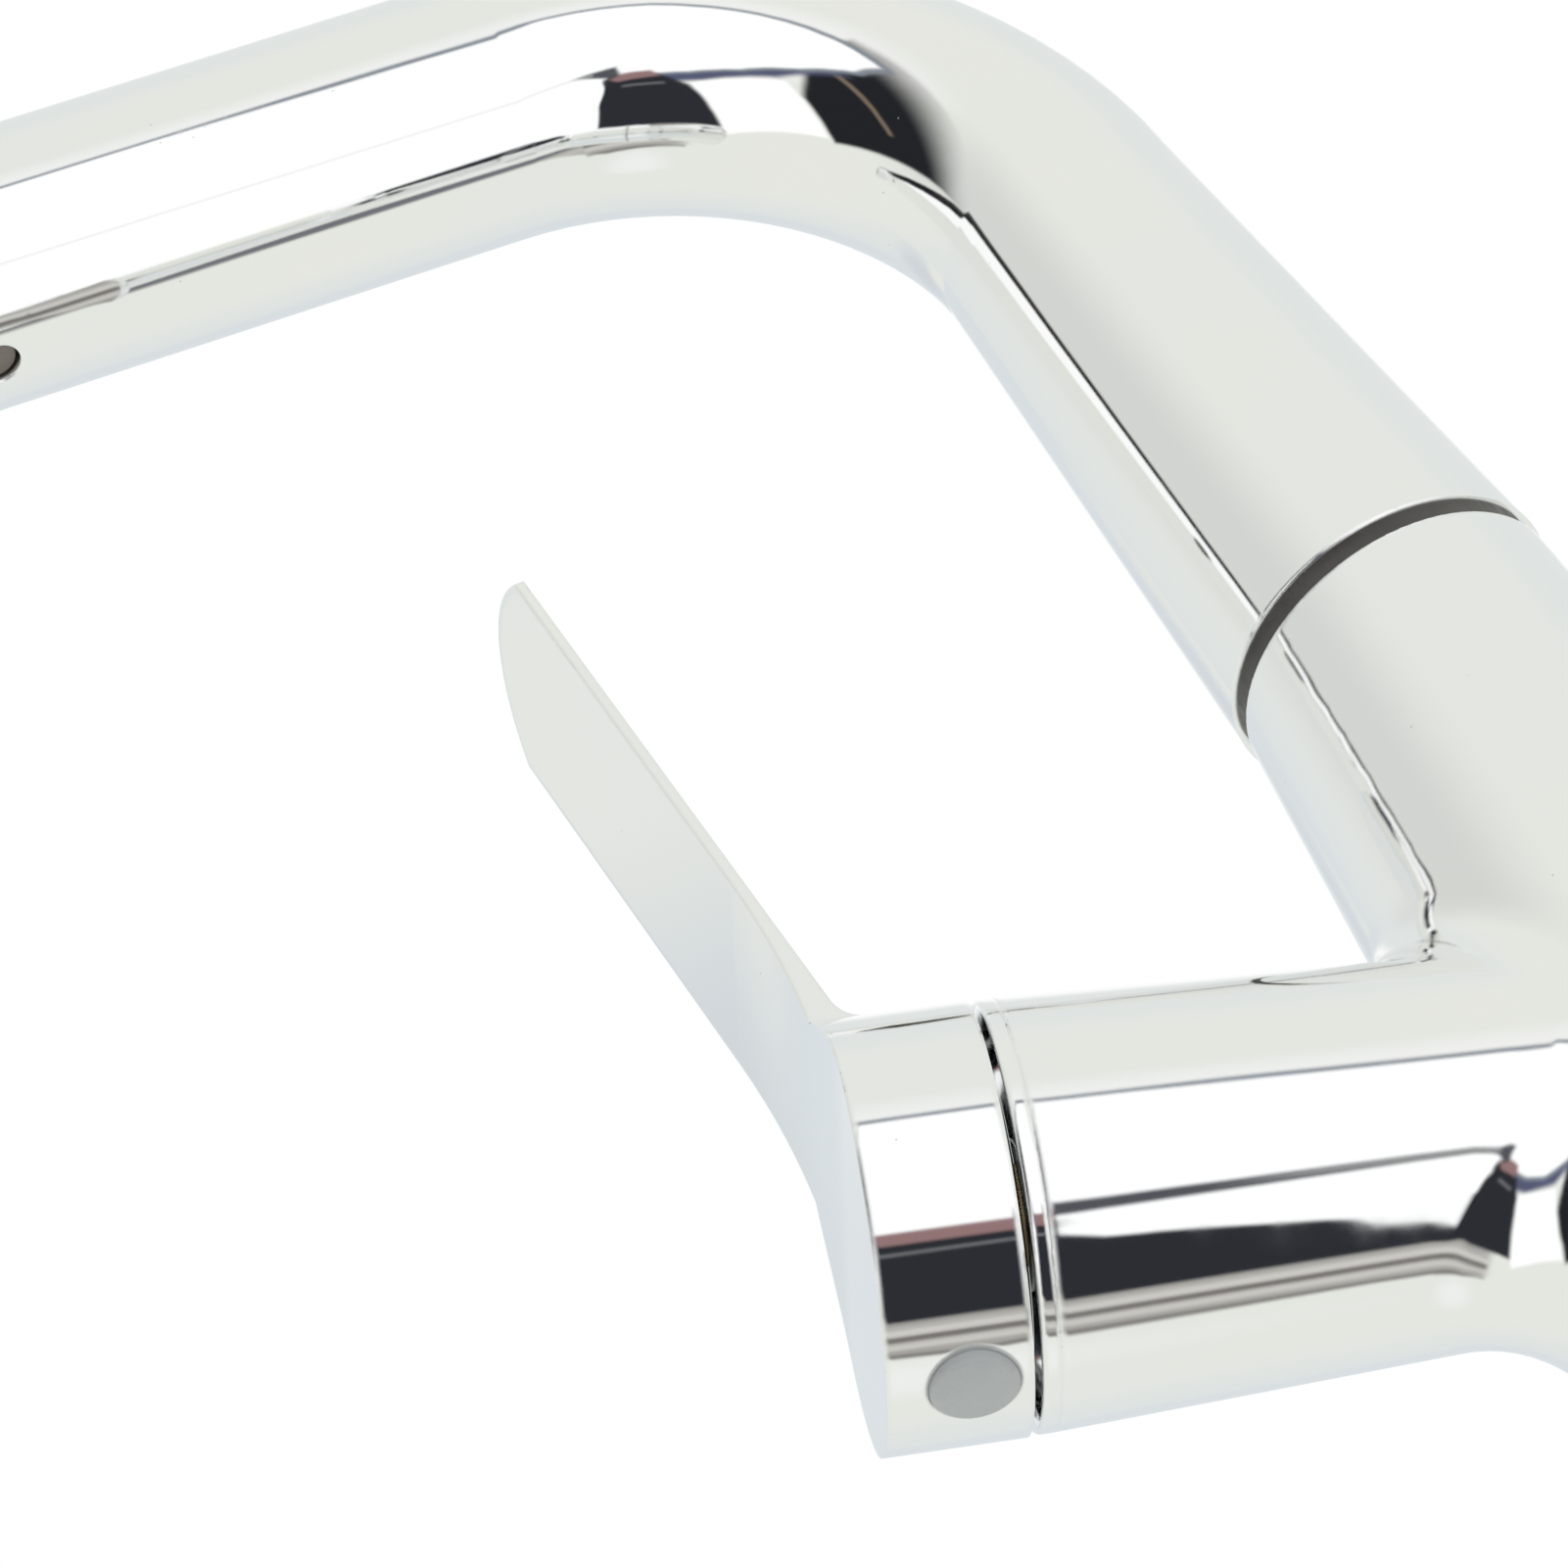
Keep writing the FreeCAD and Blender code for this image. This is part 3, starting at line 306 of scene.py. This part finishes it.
# Streaked brown bench with pale boards and dark gaps, and the bright tent below it
sky.paint(sky.glow((15, -77), inner=4.0, outer=18.0), TENT_BRIGHT, strength=0.8)
streaks = sky.noise(sky.stretched(sky.spot, STREAK_STRETCH), 1.0, detail=3.0, rough=0.6)
streaks = sky.smooth(streaks, *STREAK_RANGE)
sky.paint(sky.card(BENCH, BENCH_SOFT), sky.blend(streaks, BENCH_DEEP, BENCH_BROWN), strength=0.95)
for low, high, tone, strength in BENCH_LINES:
    right_low = low + BENCH_LINE_RISE[0]
    right_high = high + BENCH_LINE_RISE[1]
    line = [(BENCH_LEFT, low), (BENCH_RIGHT, right_low), (BENCH_RIGHT, right_high), (BENCH_LEFT, high)]
    sky.paint(sky.card(line, soft=1.6), tone, strength)
sky.paint(sky.card(SLATE_STRIP, SLATE_SOFT), BENCH_SLATE)
# Dark opening under the front sheet, with a rose strip and a pale line along its top
sky.paint(sky.card(OPENING, OPENING_SOFT, ragged=wobble), OPENING_DARK)
sky.paint(sky.card(OPENING_TOP, soft=1.2, ragged=wobble), OPENING_ROSE, strength=0.9)
sky.paint(sky.card(OPENING_THREAD, soft=1.2), OPENING_LINE, strength=0.75)

# The white backdrop is what the camera, metal and glass see. The tent stands in front of it for
# metal and for the light on the object, is left out of the camera's view, and stops short of the
# direction straight behind the object, so that the object's outline mirrors the backdrop.
paths = sky.add("ShaderNodeLightPath")
straight = sky.plus(paths.outputs["Is Camera Ray"], paths.outputs["Is Transmission Ray"], clamp=True)
seen = sky.plus(straight, paths.outputs["Is Glossy Ray"], clamp=True)
backdrop = sky.blend(seen, TENT_LEVEL, BACKDROP_WHITE)
behind = sky.plus(sky.away, sky.times(sky.height, COVER_TILT))
cover = sky.times(sky.smooth(behind, *COVER_RANGE), sky.math("SUBTRACT", 1.0, straight))
background = sky.add("ShaderNodeBackground")
sky.put(background.inputs["Color"], sky.blend(cover, backdrop, sky.color))
world_out = sky.add("ShaderNodeOutputWorld")
sky.put(world_out.inputs["Surface"], background.outputs[0])

# Plating: heights in metres, scales per metre
EDGE_SAMPLES = 6
WAVE_SCALE = 45.0
WAVE_HEIGHT = 0.000022
HAIRLINES = (((0.4, 0.2, 0.1), 900.0), ((1.3, -0.5, 0.8), 1300.0))
HAIR_STRETCH = (1, 1, 0.02)
HAIR_RANGE = (0.62, 0.70)
HAIR_ROUGH = 0.08
HAIR_PATCH_SCALE = 30.0
HAIR_PATCH_RANGE = (0.5, 0.72)
SPECK_SCALE = 260.0
SPECK_CELLS = 0.8
SPECK_EDGE = (0.045, 0.03)
SPECK_ROUGH = 0.45
SPECK_TONE = (0.80, 0.79, 0.76)
CLOUD_SCALE = 220.0
CLOUD_RANGE = (0.35, 0.75)
CLOUD_ROUGH = (0.018, 0.045)
CHROME_SCALE = 14.0
CHROME_RANGE = (0.3, 0.7)
CHROME_TONES = ((0.925, 0.932, 0.935), (0.938, 0.938, 0.93))

# Machined metal
RING_PERIOD = 0.314
RING_DISTORTION = 1.2
RING_DETAIL = 3.0
RING_SHARE = 0.6
RING_HEIGHT = 0.000012
MARK_RANGE = (0.2, 0.8)
CUT_STRETCH = (0.05, 0.05, 1)
CUT_SCALE = 2600.0
TARNISH_SCALE = 70.0
TARNISH_RANGE = (0.4, 0.72)

# Moulded pieces
MOTTLE_SCALE = 90.0
MOTTLE_SHARE = 0.7
MOTTLE_RANGE = (0.36, 0.64)
GRAIN_RANGE = (0.3, 0.7)


def surface(name, metallic):
    """New material: itself, its shader, its node calls and object coordinates in metres."""
    mat = bpy.data.materials.new(name)
    mat.use_nodes = True
    shader = mat.node_tree.nodes["Principled BSDF"]
    shader.inputs["Metallic"].default_value = metallic
    make = Nodes(mat.node_tree)
    return mat, shader, make, make.add("ShaderNodeTexCoord").outputs["Object"]


def plated(name, edge):
    """Polished plating: softened edges, slow waviness, hairlines left by polishing and a few specks."""
    mat, shader, make, at = surface(name, 1.0)
    soft_edges = make.add("ShaderNodeBevel", samples=EDGE_SAMPLES)
    soft_edges.inputs["Radius"].default_value = edge
    waves = make.noise(at, WAVE_SCALE, detail=1.0)
    make.put(shader.inputs["Normal"], make.bump(waves, WAVE_HEIGHT, soft_edges.outputs["Normal"]))
    hairs = None
    for angles, scale in HAIRLINES:
        lines = make.noise(make.stretched(make.rotated(at, angles), HAIR_STRETCH), scale, detail=1.0)
        lines = make.smooth(lines, *HAIR_RANGE)
        hairs = lines if hairs is None else make.math("MAXIMUM", hairs, lines)
    patches = make.smooth(make.noise(at, HAIR_PATCH_SCALE, detail=3.0), *HAIR_PATCH_RANGE)
    hairs = make.times(hairs, patches)
    cells = make.add("ShaderNodeTexVoronoi")
    make.put(cells.inputs["Vector"], at)
    cells.inputs["Scale"].default_value = SPECK_SCALE
    chosen = make.math("GREATER_THAN", make.dot(cells.outputs["Color"], (1, 0, 0)), SPECK_CELLS)
    specks = make.times(make.smooth(cells.outputs["Distance"], *SPECK_EDGE), chosen)
    cloud = make.smooth(make.noise(at, CLOUD_SCALE, detail=4.0), *CLOUD_RANGE, *CLOUD_ROUGH)
    rough = make.plus(cloud, make.times(hairs, HAIR_ROUGH))
    rough = make.plus(rough, make.times(specks, SPECK_ROUGH))
    make.put(shader.inputs["Roughness"], rough)
    tone = make.blend(make.smooth(make.noise(at, CHROME_SCALE), *CHROME_RANGE), *CHROME_TONES)
    make.put(shader.inputs["Base Color"], make.blend(specks, tone, SPECK_TONE))
    return mat


def machined(name, tones, rough, pitch):
    """Machined metal: tool rings along the part's axis, uneven gloss and slight tarnish."""
    mat, shader, make, at = surface(name, 1.0)
    rings = make.add("ShaderNodeTexWave", wave_type="BANDS", bands_direction="Z")
    make.put(rings.inputs["Vector"], at)
    rings.inputs["Scale"].default_value = RING_PERIOD / pitch
    rings.inputs["Distortion"].default_value = RING_DISTORTION
    rings.inputs["Detail"].default_value = RING_DETAIL
    cuts = make.noise(make.stretched(at, CUT_STRETCH), CUT_SCALE, detail=3.0)
    marks = make.plus(make.times(rings.outputs["Fac"], RING_SHARE), make.times(cuts, 1.0 - RING_SHARE))
    tarnish = make.smooth(make.noise(at, TARNISH_SCALE, detail=5.0, rough=0.6), *TARNISH_RANGE)
    make.put(shader.inputs["Base Color"], make.blend(tarnish, *tones))
    make.put(shader.inputs["Roughness"], make.smooth(marks, *MARK_RANGE, *rough))
    make.put(shader.inputs["Normal"], make.bump(marks, RING_HEIGHT))
    return mat


def moulded(name, tones, rough, grain, depth, flow=(1, 1, 1)):
    """Plastic, rubber or ceramic: mottled tone, uneven gloss and a fine moulded grain."""
    mat, shader, make, at = surface(name, 0.0)
    mottle = make.noise(at, MOTTLE_SCALE, detail=5.0, rough=0.6)
    fine = make.noise(make.stretched(at, flow), grain, detail=4.0, rough=0.6)
    both = make.plus(make.times(mottle, MOTTLE_SHARE), make.times(fine, 1.0 - MOTTLE_SHARE))
    make.put(shader.inputs["Base Color"], make.blend(make.smooth(both, *MOTTLE_RANGE), *tones))
    make.put(shader.inputs["Roughness"], make.smooth(fine, *GRAIN_RANGE, *rough))
    make.put(shader.inputs["Normal"], make.bump(fine, depth))
    return mat


# Plating takes a name and the radius of its edges; machined metal a name, two tones, a roughness
# range and the pitch of its rings; moulded pieces a name, two tones, a roughness range, the scale
# and depth of their grain and how it is stretched
BY_NODE = {
    "body_casting": plated("chrome_body", 0.0013),
    "trim_bead": plated("chrome_bead", 0.0007),
    "lever": plated("chrome_lever", 0.0011),
}
BY_SLOT = {
    "chrome": plated("chrome_plate", 0.0009),
    "brass": machined("machined_brass", ((0.74, 0.60, 0.36), (0.60, 0.46, 0.25)), (0.20, 0.36), 0.0005),
    "steel": machined("plain_steel", ((0.64, 0.65, 0.67), (0.52, 0.52, 0.53)), (0.22, 0.40), 0.0004),
    "rubber": moulded("black_rubber", ((0.026, 0.026, 0.027), (0.045, 0.044, 0.042)), (0.55, 0.8),
                      2200, 0.00003),
    "dark_plastic": moulded("dark_plastic", ((0.072, 0.067, 0.062), (0.10, 0.094, 0.087)), (0.32, 0.5),
                            1800, 0.000015, (1, 1, 0.2)),
    "pale_plastic": moulded("pale_plastic", ((0.54, 0.57, 0.575), (0.60, 0.625, 0.62)), (0.42, 0.6),
                            1500, 0.00002),
    "brown_plastic": moulded("brown_plastic", ((0.17, 0.15, 0.13), (0.25, 0.22, 0.19)), (0.4, 0.6),
                             1600, 0.00002),
    "white_plastic": moulded("white_plastic", ((0.78, 0.77, 0.74), (0.72, 0.71, 0.67)), (0.32, 0.5),
                             1400, 0.000015),
    "ceramic": moulded("ceramic_plate", ((0.88, 0.87, 0.84), (0.82, 0.81, 0.79)), (0.08, 0.22),
                       3000, 0.000004),
}

# Mounting shank with its outside thread cut, over the plain tube of the same crest and bore
THREAD_PITCH = 0.0015
THREAD_DEPTH = 0.00085
THREAD_START = -0.0025
THREAD_RELIEF = 0.0012
SHANK_BORE = 0.012
THREAD_STEPS = 96
SPARE_TURNS = 3
SHARP_ANGLE = 25
WELD_DISTANCE = 0.0000005
# Share of the pitch and share of the depth at each corner of the thread's ridge
THREAD_FORM = ((0.0, 0.0), (0.40, 1.0), (0.55, 1.0), (0.95, 0.0))


def shank_column(angle, low, high, crest):
    """Radius and height of each point of the tube's wall at one angle, from the bore round the outside."""
    column = [(SHANK_BORE, low), (crest - THREAD_RELIEF, low)]
    turns = int((THREAD_START - low) / THREAD_PITCH) + SPARE_TURNS
    for count in range(-1, turns):
        for share, lift in THREAD_FORM:
            level = low + THREAD_PITCH * (count + share + angle / math.tau)
            radius = crest - THREAD_DEPTH * (1.0 - lift)
            if level <= low:
                radius, level = crest - THREAD_RELIEF, low
            elif level >= THREAD_START:
                radius, level = crest, THREAD_START
            column.append((min(radius, crest - THREAD_RELIEF + level - low), level))
    return column + [(crest, THREAD_START), (crest, high), (SHANK_BORE, high)]


low_corner, high_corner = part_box("mounting_shank")
shank_mesh = bmesh.new()
columns = []
for step in range(THREAD_STEPS + 1):
    angle = math.tau * step / THREAD_STEPS
    points = shank_column(angle, low_corner.z, high_corner.z, high_corner.x)
    columns.append([shank_mesh.verts.new((r * math.cos(angle), r * math.sin(angle), z)) for r, z in points])
for near, far in zip(columns, columns[1:]):
    for index in range(len(near)):
        after = (index + 1) % len(near)
        shank_mesh.faces.new((near[index], far[index], far[after], near[after]))
bmesh.ops.remove_doubles(shank_mesh, verts=shank_mesh.verts, dist=WELD_DISTANCE)
bmesh.ops.dissolve_degenerate(shank_mesh, edges=shank_mesh.edges, dist=WELD_DISTANCE)
bmesh.ops.recalc_face_normals(shank_mesh, faces=shank_mesh.faces)
shank_data = bpy.data.meshes.new("threaded_shank")
shank_mesh.to_mesh(shank_data)
shank_mesh.free()
shank_data.shade_smooth()
shank_data.set_sharp_from_angle(angle=math.radians(SHARP_ANGLE))
threaded_shank = bpy.data.objects.new("threaded_shank", shank_data)
bpy.context.scene.collection.objects.link(threaded_shank)
shank_data.materials.append(BY_SLOT["brass"])
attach(threaded_shank, "fixed")
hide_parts("mounting_shank")

# Materials of the CAD nodes
for row in frame["record"]["subparts"]:
    piece = frame["nodes"][row["node"]]
    piece.data.materials.clear()
    piece.data.materials.append(BY_NODE.get(row["node"], BY_SLOT[row["material_slot"]]))

# Floor: just under the mounting shank, shown from above only
FLOOR_LEVEL = -0.0605
FLOOR_SIZE = 6.0
FLOOR_TONE = (0.92, 0.905, 0.925, 1)
bpy.ops.mesh.primitive_plane_add(size=FLOOR_SIZE, location=(0, 0, FLOOR_LEVEL))
floor = bpy.context.object
floor.name = "floor"
floor.visible_glossy = False
floor_mat = bpy.data.materials.new("floor_paper")
floor_mat.use_nodes = True
floor_mat.node_tree.nodes.clear()
paper = Nodes(floor_mat.node_tree)
sheet = paper.add("ShaderNodeBsdfDiffuse")
sheet.inputs["Color"].default_value = FLOOR_TONE
clear = paper.add("ShaderNodeBsdfTransparent")
one_sided = paper.add("ShaderNodeMixShader")
paper.put(one_sided.inputs[0], paper.add("ShaderNodeNewGeometry").outputs["Backfacing"])
paper.put(one_sided.inputs[1], sheet.outputs[0])
paper.put(one_sided.inputs[2], clear.outputs[0])
paper.put(paper.add("ShaderNodeOutputMaterial").inputs["Surface"], one_sided.outputs[0])
floor.data.materials.append(floor_mat)

scene = bpy.context.scene
scene.view_settings.view_transform = "Standard"
